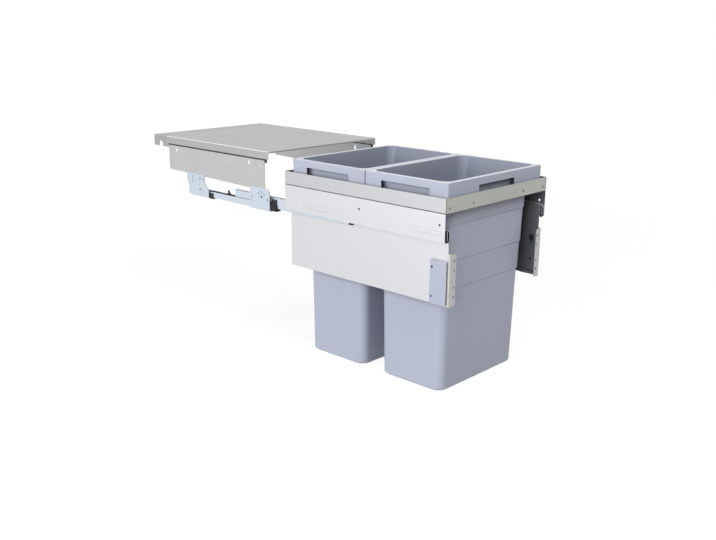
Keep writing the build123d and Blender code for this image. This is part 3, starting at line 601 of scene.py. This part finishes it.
def loose_shapes(name):
    """The middle and the radius of each separate solid of a CAD piece."""
    shape = bmesh.new()
    shape.from_mesh(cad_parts[name].data)
    bmesh.ops.remove_doubles(shape, verts=shape.verts, dist=joined_within)
    unseen = dict.fromkeys(shape.verts)
    found = []
    while unseen:
        waiting = [unseen.popitem()[0]]
        held = []
        while waiting:
            corner = waiting.pop()
            held.append(corner.co.copy())
            for edge in corner.link_edges:
                other = edge.other_vert(corner)
                if other in unseen:
                    del unseen[other]
                    waiting.append(other)
        middle = sum(held, Vector()) / len(held)
        found.append((middle, max((point - middle).length for point in held)))
    shape.free()
    return found


ball_finish, tree, shader = new_material("polished ball")
skin = place_group(tree, rolled_sheet, Colour=ball_bright, Shade=ball_grey,
                   Edge_colour=ball_edge, Stretch=ball_grain_stretch, Cloud_size=ball_clouds,
                   Roughness=ball_roughness, Spread=ball_spread)
link(tree, skin.outputs["Colour"], shader.inputs["Base Color"])
link(tree, skin.outputs["Roughness"], shader.inputs["Roughness"])
shader.inputs["Metallic"].default_value = 1
add_relief(tree, shader, skin.outputs["Height"], ball_relief)
for side in SIDES:
    for row in ("upper", "lower"):
        node_name = f"{row}_balls_{side}"
        shape = bmesh.new()
        for middle, radius in loose_shapes(node_name):
            bmesh.ops.create_icosphere(shape, subdivisions=ball_subdivisions, radius=radius,
                                       matrix=Matrix.Translation(middle))
        for face in shape.faces:
            face.smooth = True
        balls = new_piece(f"{row}_rolling_balls_{side}", shape, ball_finish,
                          f"{side}_{row}_cage")
        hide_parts(node_name)


# Frame
# Folded sheet steel with a satin silver lacquer: a band round the top whose ledge carries the
# bins, and an outer and an inner panel each side, spot welded to it.
frame_silver = (0.67, 0.675, 0.70, 1)
frame_shade = (0.61, 0.615, 0.635, 1)
# A darker copy of the frame's silver for the band: painted shade.
band_painted_shade_silver = (0.545, 0.55, 0.572, 1)
band_painted_shade_grey = (0.505, 0.51, 0.525, 1)
frame_edge = (0.84, 0.84, 0.85, 1)
# A darker copy of the frame's silver for the front and rear rails: painted shade.
cross_painted_shade_silver = (0.50, 0.507, 0.472, 1)
cross_painted_shade_grey = (0.44, 0.445, 0.415, 1)
frame_metal, frame_roughness = 0.75, 0.40
side_grain_stretch, cross_grain_stretch = (420, 20, 260), (20, 420, 260)
frame_wear = 0.6 * MM
frame_relief = 0.01 * MM
# A dark colour for cut ends and for painted shade on folds and bends, and the level of painted
# shade on inward faces:
cut_steel_and_painted_shade = (0.16, 0.16, 0.165, 1)
inner_painted_shade = 0.34
across, along, upright = (1, 0, 0), (0, 1, 0), (0, 0, 1)
end_turn, band_edge_turn = 0.9, 0.35
cross_end_turn, cross_edge_turn = 0.25, 0.5

frame_finish, cross_finish, band_finish = [
    sheet_finish(name, colour, shade, frame_edge, frame_roughness, stretch, frame_metal,
                 frame_wear, frame_relief)
    for name, colour, shade, stretch in (
        ("frame silver", frame_silver, frame_shade, side_grain_stretch),
        ("cross rail silver with painted shade", cross_painted_shade_silver, cross_painted_shade_grey, cross_grain_stretch),
        ("band silver with painted shade", band_painted_shade_silver, band_painted_shade_grey, side_grain_stretch),
    )
]
# Dark cut ends on the panels and band. Painted shade on the band's folds, on the cross rails'
# bends and edges, and on inward faces.
colour_turned_and_inner_faces(frame_finish, along, end_turn, inner_painted_shade, cut_steel_and_painted_shade)
colour_turned_and_inner_faces(band_finish, along, end_turn, inner_painted_shade, cut_steel_and_painted_shade)
colour_turned_and_inner_faces(band_finish, upright, band_edge_turn, unshaded_inside, cut_steel_and_painted_shade)
colour_turned_and_inner_faces(cross_finish, across, cross_end_turn, unshaded_inside, cut_steel_and_painted_shade)
colour_turned_and_inner_faces(cross_finish, upright, cross_edge_turn, unshaded_inside, cut_steel_and_painted_shade)
dress(frame_finish, *both_sides("outer_side_panel", "inner_side_panel"))
dress(band_finish, *both_sides("side_band"))
dress(cross_finish, "front_rail", "rear_rail")


# Weld pads
# The raised rims of the two long pads pressed into each outer panel, where it is welded to the
# drawer rail.
pad_places = ((-498, 33.5), (-146, 33.5))
pad_size = (0.42, 91.5, 11.5)
pad_face_x = 206.1
pad_corner, pad_corner_steps = 5.0, 5
pad_rim, pad_slope = 0.9, 0.225
pad_dish = -0.36
pad_edge_turn = 0.25


def edges_across(shape):
    """The edges of a shape that run from side to side of the frame."""
    return [edge for edge in shape.edges
            if abs((edge.verts[0].co - edge.verts[1].co).normalized().x) > squarely]


def sink(shape, face, rim, slope, depth):
    """Sink a face inside a flat rim, down a short slope, in millimetres."""
    bmesh.ops.inset_individual(shape, faces=[face], thickness=rim * MM)
    bmesh.ops.inset_individual(shape, faces=[face], thickness=slope * MM, depth=depth * MM)


# The rims' edges take the frame's darker grain colour, and their up- and down-facing slopes take
# the dark colour: painted shade that outlines each rim.
pad_finish = sheet_finish("pad silver", frame_silver, frame_shade, frame_shade, frame_roughness,
                          side_grain_stretch, frame_metal, frame_wear, frame_relief)
colour_turned_and_inner_faces(pad_finish, upright, pad_edge_turn, unshaded_inside, cut_steel_and_painted_shade)
for side in SIDES:
    shape = bmesh.new()
    for y, z in pad_places:
        add_block(shape, pad_size, (OUTWARD[side] * pad_face_x, y, z))
    round_off(shape, edges_across(shape), pad_corner, pad_corner_steps)
    for face in [face for face in shape.faces if face.normal.x * OUTWARD[side] > squarely]:
        sink(shape, face, pad_rim, pad_slope, pad_dish)
    new_piece(f"weld_pad_rims_{side}", shape, pad_finish, "frame")


# Adjusters
# Behind the window and the two round holes in each inner panel sit the dark adjusting slide and
# the heads of its two cams, on the door bracket's base.
adjuster_x, adjuster_y = 187.1, -534.0
adjuster_slope, adjuster_dish = 0.1, -0.35
slide_z, slide_size, slide_rim = -42.5, (0.7, 13.2, 17.2), 1.6
slide_corner, slide_corner_steps = 2.6, 4
cam_places = (-56.5, -98.7)
cam_radius, cam_sides = 2.75, 18
cam_socket = 1.3

for side in SIDES:
    shape = bmesh.new()
    add_block(shape, slide_size, (0, 0, slide_z))
    round_off(shape, edges_across(shape), slide_corner, slide_corner_steps)
    for z in cam_places:
        add_round(shape, (0, 0, z), cam_radius, slide_size[0], cam_sides)
    for face in [face for face in shape.faces if face.normal.x * OUTWARD[side] < -squarely]:
        rim = cam_socket if len(face.verts) == cam_sides else slide_rim
        sink(shape, face, rim, adjuster_slope, adjuster_dish)
    bmesh.ops.translate(shape, verts=shape.verts,
                        vec=Vector((OUTWARD[side] * adjuster_x, adjuster_y, 0)) * MM)
    new_piece(f"door_adjuster_{side}", shape, acetal_finish, "frame")


# Door brackets
# Thicker plate, zinc plated dull, turned out at the front to take the door's screws. A moulded
# cover hides the adjusters, held by two small screws.
bracket_zinc = (0.55, 0.55, 0.54, 1)
bracket_grey = (0.47, 0.47, 0.46, 1)
bracket_metal, bracket_roughness = 0.8, 0.42
bracket_grain_stretch = (120, 120, 120)
bracket_wear = 0.8 * MM
bracket_relief = 0.02 * MM
cover_grey = (0.55, 0.59, 0.72, 1)
cover_dull = (0.52, 0.56, 0.68, 1)
cover_edge = (0.60, 0.63, 0.74, 1)
cover_roughness = 0.5
cover_wear = 0.8 * MM
cover_grain, cover_haze = 1100, 14
cover_relief = 0.03 * MM

bracket_finish = sheet_finish("dull zinc plate", bracket_zinc, bracket_grey, zinc_edge,
                              bracket_roughness, bracket_grain_stretch, bracket_metal,
                              bracket_wear, bracket_relief)
cover_finish = moulded_finish("cover plastic", cover_grey, cover_dull, cover_edge,
                              cover_roughness, cover_wear, cover_grain, cover_relief, cover_haze)
dress(bracket_finish, *both_sides("door_bracket"))
dress(cover_finish, *both_sides("bracket_cover"))


# Cover screws
# Small burnished pan-head screws with a cross recess, two to a cover, driven into the
# bracket's plate.
screw_places = ((-511.5, -49.55), (-511.5, -119.95))
screw_face_x = 193.5
screw_sides = 12
screw_head_radius = 2.8
screw_head_height = 1.1
screw_crown = 0.35
screw_crown_shares = (0.72, 0.93)
screw_shank = 1.5
screw_shank_length = 3.8
recess_half = 1.15
recess_cells = 3
recess_depth = 0.6
screw_dark = (0.10, 0.10, 0.11, 1)
screw_shade = (0.07, 0.07, 0.08, 1)
screw_edge = (0.22, 0.22, 0.23, 1)
screw_metal, screw_roughness = 0.9, 0.35
screw_grain_stretch = (300, 300, 300)
screw_wear = 0.4 * MM
screw_relief = 0.01 * MM


def pan_head(shape):
    """A pan head about the origin, facing up, with its cross recess and shank."""
    bmesh.ops.create_grid(shape, x_segments=recess_cells, y_segments=recess_cells,
                          size=recess_half * MM)
    cell_half = recess_half * MM / recess_cells
    cross = [face for face in shape.faces
             if min(abs(place) for place in face.calc_center_median().xy) < cell_half / 2]
    pull_out(shape, cross, (0, 0, -recess_depth * MM))
    loop = [edge for edge in shape.edges if edge.is_boundary]
    for radius, z in ((screw_head_radius * screw_crown_shares[0], -screw_crown / 4),
                      (screw_head_radius * screw_crown_shares[1], -screw_crown),
                      (screw_head_radius, -screw_crown * 2),
                      (screw_head_radius, -screw_head_height),
                      (screw_shank, -screw_head_height),
                      (screw_shank, -screw_head_height - screw_shank_length)):
        ring = bmesh.ops.create_circle(shape, segments=screw_sides, radius=radius * MM,
                                       matrix=Matrix.Translation((0, 0, z * MM)))["verts"]
        edges = list(dict.fromkeys(edge for corner in ring for edge in corner.link_edges))
        bmesh.ops.bridge_loops(shape, edges=loop + edges)
        loop = edges
    bmesh.ops.holes_fill(shape, edges=loop, sides=screw_sides)
    bmesh.ops.recalc_face_normals(shape, faces=shape.faces)


screw_finish = sheet_finish("burnished screw", screw_dark, screw_shade, screw_edge,
                            screw_roughness, screw_grain_stretch, screw_metal, screw_wear,
                            screw_relief)
for side in SIDES:
    shape = bmesh.new()
    for y, z in screw_places:
        one = bmesh.new()
        pan_head(one)
        facing = Matrix.Rotation(OUTWARD[side] * math.pi / 2, 4, "Y")
        place = Vector((OUTWARD[side] * (screw_face_x + screw_head_height), y, z)) * MM
        bmesh.ops.transform(one, verts=one.verts, matrix=Matrix.Translation(place) @ facing)
        held = bpy.data.meshes.new("screw")
        one.to_mesh(held)
        one.free()
        shape.from_mesh(held)
        bpy.data.meshes.remove(held)
    screws = new_piece(f"cross_head_screws_{side}", shape, screw_finish, "frame")
    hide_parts(f"cover_screws_{side}")


# Bins
# Injection-moulded polypropylene, light grey with a touch of lavender. The turned-down rim
# hangs on the frame's ledge, and its skirt has a finger opening in each side.
bin_grey = (0.555, 0.590, 0.720, 1)
bin_dull = (0.525, 0.555, 0.672, 1)
# The edge colour is a painted highlight along the bins' rounded edges, widened and strengthened
# by the reach and strength below.
bin_edge_highlight = (0.74, 0.77, 0.88, 1)
# A darker copy of the plastic for the inward faces: painted shade.
inside_painted_shade = (0.305, 0.33, 0.42, 1)
inside_painted_shade_dull = (0.28, 0.30, 0.38, 1)
# A lighter copy of the plastic for the rim's top: painted highlight.
rim_painted_highlight = (0.88, 0.90, 0.96, 1)
rim_painted_highlight_dull = (0.82, 0.85, 0.93, 1)
bin_roughness, rim_roughness = 0.44, 0.3
bin_highlight_reach, bin_highlight_strength = 1.2 * MM, 2.2
bin_grain, bin_haze = 700, 5
bin_relief, rim_relief = 0.05 * MM, 0.02 * MM
bin_edge_round = 0.55
smooth_limit, step_limit = math.radians(28), math.radians(15)
flat_within = math.radians(0.5)
level_edge = 0.02 * MM
least_edge = 0.001 * MM
lip_band = 3.0 * MM
rim_turn, floor_turn, inside_turn = 0.8, 0.5, 0.05
floor_reach = 0.2
rim_corner = 12 * MM
rim_tighter = 7.5 * MM
rim_heights = (79 * MM, 147 * MM)

# The bins' edges carry a painted highlight through the edge mask.
bin_finish = moulded_finish("bin plastic", bin_grey, bin_dull, bin_edge_highlight, bin_roughness,
                            bin_highlight_reach, bin_grain, bin_relief, bin_haze, edge_strength=bin_highlight_strength)
# The inward faces and the floor get painted shade.
inside_shade_finish = moulded_finish("bin plastic with painted inner shade", inside_painted_shade, inside_painted_shade_dull, bin_edge_highlight,
                               bin_roughness, bin_highlight_reach, bin_grain, bin_relief, bin_haze)
# The rim's top gets a painted highlight.
rim_highlight_finish = moulded_finish("bin rim with painted highlight", rim_painted_highlight, rim_painted_highlight_dull, bin_edge_highlight, rim_roughness,
                            bin_highlight_reach, bin_grain, rim_relief, bin_haze)


def merged_copy(node_name):
    """A copy of a CAD piece's mesh with its triangles joined and its flat faces made whole."""
    shape = bmesh.new()
    shape.from_mesh(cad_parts[node_name].data)
    bmesh.ops.remove_doubles(shape, verts=shape.verts, dist=joined_within)
    bmesh.ops.dissolve_limit(shape, angle_limit=flat_within, verts=shape.verts,
                             edges=shape.edges)
    return shape


def tighten_corners(shape, middle, half, radius, by, low, high):
    """Move the rounded corners between two heights outwards, which makes them tighter."""
    for corner in shape.verts:
        if not low < corner.co.z < high:
            continue
        x, y = corner.co.x - middle.x, corner.co.y - middle.y
        centre = Vector((math.copysign(half.x - radius, x), math.copysign(half.y - radius, y)))
        away = Vector((x, y)) - centre
        if away.x * x < -level_edge * half.x or away.y * y < -level_edge * half.y:
            continue
        reach = away.length
        if reach > by:
            moved = centre + Vector((math.copysign(by, x), math.copysign(by, y)))
            moved += away * (reach - by) / reach
            corner.co.x, corner.co.y = middle.x + moved.x, middle.y + moved.y


def round_edges(shape, width):
    """Round the edges that turn sharply, and the level edges of the steps."""
    sharp = []
    for edge in shape.edges:
        if len(edge.link_faces) != 2:
            continue
        level = abs(edge.verts[0].co.z - edge.verts[1].co.z) < level_edge
        if edge.calc_face_angle(0) > (step_limit if level else smooth_limit):
            sharp.append(edge)
    round_off(shape, sharp, width, 2, clamp=True)
    bmesh.ops.remove_doubles(shape, verts=shape.verts, dist=least_edge)
    for face in shape.faces:
        face.smooth = True


for name in ("front_bin", "rear_bin"):
    shape = merged_copy(name)
    places = [corner.co for corner in shape.verts]
    low = Vector([min(place[n] for place in places) for n in (0, 1)])
    high = Vector([max(place[n] for place in places) for n in (0, 1)])
    middle, half = (low + high) / 2, (high - low) / 2
    tighten_corners(shape, middle, half, rim_corner, rim_tighter, *rim_heights)
    round_edges(shape, bin_edge_round)
    middle = sum((corner.co for corner in shape.verts), Vector()) / len(shape.verts)
    lip = max(corner.co.z for corner in shape.verts) - lip_band
    for face in shape.faces:
        centre = face.calc_center_median()
        inward = Vector((middle.x - centre.x, middle.y - centre.y))
        turned = face.normal.x * inward.x + face.normal.y * inward.y
        facing_in = turned > inside_turn * inward.length
        deep_floor = face.normal.z > floor_turn and inward.length < floor_reach
        # Faces turned inwards below the lip, and the floor, take the darker copy: painted shade.
        if centre.z < lip and (facing_in or deep_floor):
            face.material_index = 1
        # Upward faces of the rim take the lighter copy: painted highlight.
        elif centre.z > lip and face.normal.z > rim_turn:
            face.material_index = 2
    moulded = new_piece(f"{name}_moulding", shape, bin_finish, name)
    moulded.data.materials.append(inside_shade_finish)
    moulded.data.materials.append(rim_highlight_finish)
    weights = moulded.modifiers.new("even shading", "WEIGHTED_NORMAL")
    weights.keep_sharp = True
    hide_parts(name)


# Floor
# A plain pale studio floor that runs past every edge of the view and keeps a faint shadow.
floor_half = 30.0
floor_gap = 0.5 * MM
floor_pale = (0.28, 0.28, 0.28, 1)
floor_roughness = 0.9
floor_lift, far_lift = 0.86, 0.97
near_reach, far_reach = 1.3, 4.5


def studio_sheet(name, half, place):
    """A flat square sheet that stands in the studio, where a matrix puts it."""
    shape = bmesh.new()
    bmesh.ops.create_grid(shape, x_segments=2, y_segments=2, size=half, matrix=place)
    mesh = bpy.data.meshes.new(name)
    shape.to_mesh(mesh)
    shape.free()
    sheet = bpy.data.objects.new(name, mesh)
    bpy.context.scene.collection.objects.link(sheet)
    return sheet


floor = studio_sheet("studio_floor", floor_half,
                     Matrix.Translation((0, 0, cad_box[0][2] - floor_gap)))

material, tree, shader = new_material("floor paper")
shader.inputs["Base Color"].default_value = floor_pale
shader.inputs["Roughness"].default_value = floor_roughness
shader.inputs["Specular IOR Level"].default_value = 0.0
glow = add(tree, "ShaderNodeEmission")
path = add(tree, "ShaderNodeLightPath")
seen = sum_of(tree, "MAXIMUM", path.outputs["Is Camera Ray"], path.outputs["Is Glossy Ray"])
place = add(tree, "ShaderNodeTexCoord")
away = add(tree, "ShaderNodeVectorMath", operation="LENGTH")
link(tree, place.outputs["Object"], away.inputs[0])
rising = add(tree, "ShaderNodeMapRange", interpolation_type="SMOOTHSTEP")
rising.inputs["From Min"].default_value = near_reach
rising.inputs["From Max"].default_value = far_reach
rising.inputs["To Min"].default_value = floor_lift
rising.inputs["To Max"].default_value = far_lift
link(tree, away.outputs["Value"], rising.inputs["Value"])
link(tree, sum_of(tree, "MULTIPLY", seen, rising.outputs["Result"]), glow.inputs["Strength"])
both = add(tree, "ShaderNodeAddShader")
link(tree, shader.outputs["BSDF"], both.inputs[0])
link(tree, glow.outputs["Emission"], both.inputs[1])
link(tree, both.outputs["Shader"], tree.nodes["Material Output"].inputs["Surface"])
floor.data.materials.append(material)


# Light
# A dim dome, a large soft lamp at the left of the frame, a weaker one in front and one above and
# behind. A grey card in front, which only the sheen picks up, keeps the front faces darker.
dome_level = 0.10
lamps = (("side lamp", (-4.6, -0.2, 0.8), 5.0, 266),
         ("front lamp", (-0.5, -3.4, 3.2), 3.0, 94),
         ("top lamp", (0.0, 1.2, 4.0), 3.0, 20))
card_level = 0.32
card_place = (0.6, -3.4, 0.3)
card_half = 2.6
aim = Vector((0, -0.2, -0.05))

world = bpy.data.worlds.new("studio")
world.use_nodes = True
bpy.context.scene.world = world
tree = world.node_tree
backing = tree.nodes["Background"]
backing.inputs["Color"].default_value = (1, 1, 1, 1)
path = add(tree, "ShaderNodeLightPath")
seen = sum_of(tree, "MAXIMUM", path.outputs["Is Camera Ray"], path.outputs["Is Glossy Ray"])
seen = sum_of(tree, "MAXIMUM", seen, path.outputs["Is Transmission Ray"])
lift = sum_of(tree, "MULTIPLY", seen, 1 - dome_level)
link(tree, sum_of(tree, "ADD", lift, dome_level), backing.inputs["Strength"])

for name, place, size, power in lamps:
    data = bpy.data.lights.new(name, "AREA")
    data.shape = "SQUARE"
    data.size = size
    data.energy = power
    lamp = bpy.data.objects.new(name, data)
    lamp.location = place
    lamp.rotation_euler = (aim - Vector(place)).to_track_quat("-Z", "Y").to_euler()
    bpy.context.scene.collection.objects.link(lamp)

card = studio_sheet("grey_card", card_half,
                    Matrix.Translation(card_place) @ Matrix.Rotation(math.pi / 2, 4, "X"))
card.visible_camera = False
card.visible_diffuse = False
card.visible_shadow = False
card.visible_transmission = False
material, tree, shader = new_material("card grey")
shader.inputs["Base Color"].default_value = (0, 0, 0, 1)
shader.inputs["Specular IOR Level"].default_value = 0
shader.inputs["Emission Color"].default_value = (1, 1, 1, 1)
shader.inputs["Emission Strength"].default_value = card_level
card.data.materials.append(material)


# Camera
# It stands where the photograph was taken, a little above the rim and to the left of the front,
# and is turned a touch to match the photograph's tilt.
camera_place = Vector((-1.75407, -1.72668, 0.49502))
camera_side = math.radians(-47.22)
camera_height = math.radians(15.73)
camera_tilt = math.radians(0.59)
camera_lens, camera_sensor = 45.11, 36

level = math.cos(camera_height)
back = Vector((math.sin(camera_side) * level, -math.cos(camera_side) * level,
               math.sin(camera_height)))
right = Vector((0, 0, 1)).cross(back).normalized()
up = back.cross(right)
view_right = right * math.cos(camera_tilt) + up * math.sin(camera_tilt)
view_up = up * math.cos(camera_tilt) - right * math.sin(camera_tilt)
camera_data = bpy.data.cameras.new("camera")
camera_data.sensor_width = camera_sensor
camera_data.sensor_fit = "HORIZONTAL"
camera_data.lens = camera_lens
camera = bpy.data.objects.new("camera", camera_data)
camera.matrix_world = (Matrix.Translation(camera_place)
                       @ Matrix((view_right, view_up, back)).transposed().to_4x4())
bpy.context.scene.collection.objects.link(camera)
bpy.context.scene.camera = camera
bpy.context.scene.view_settings.view_transform = "Standard"
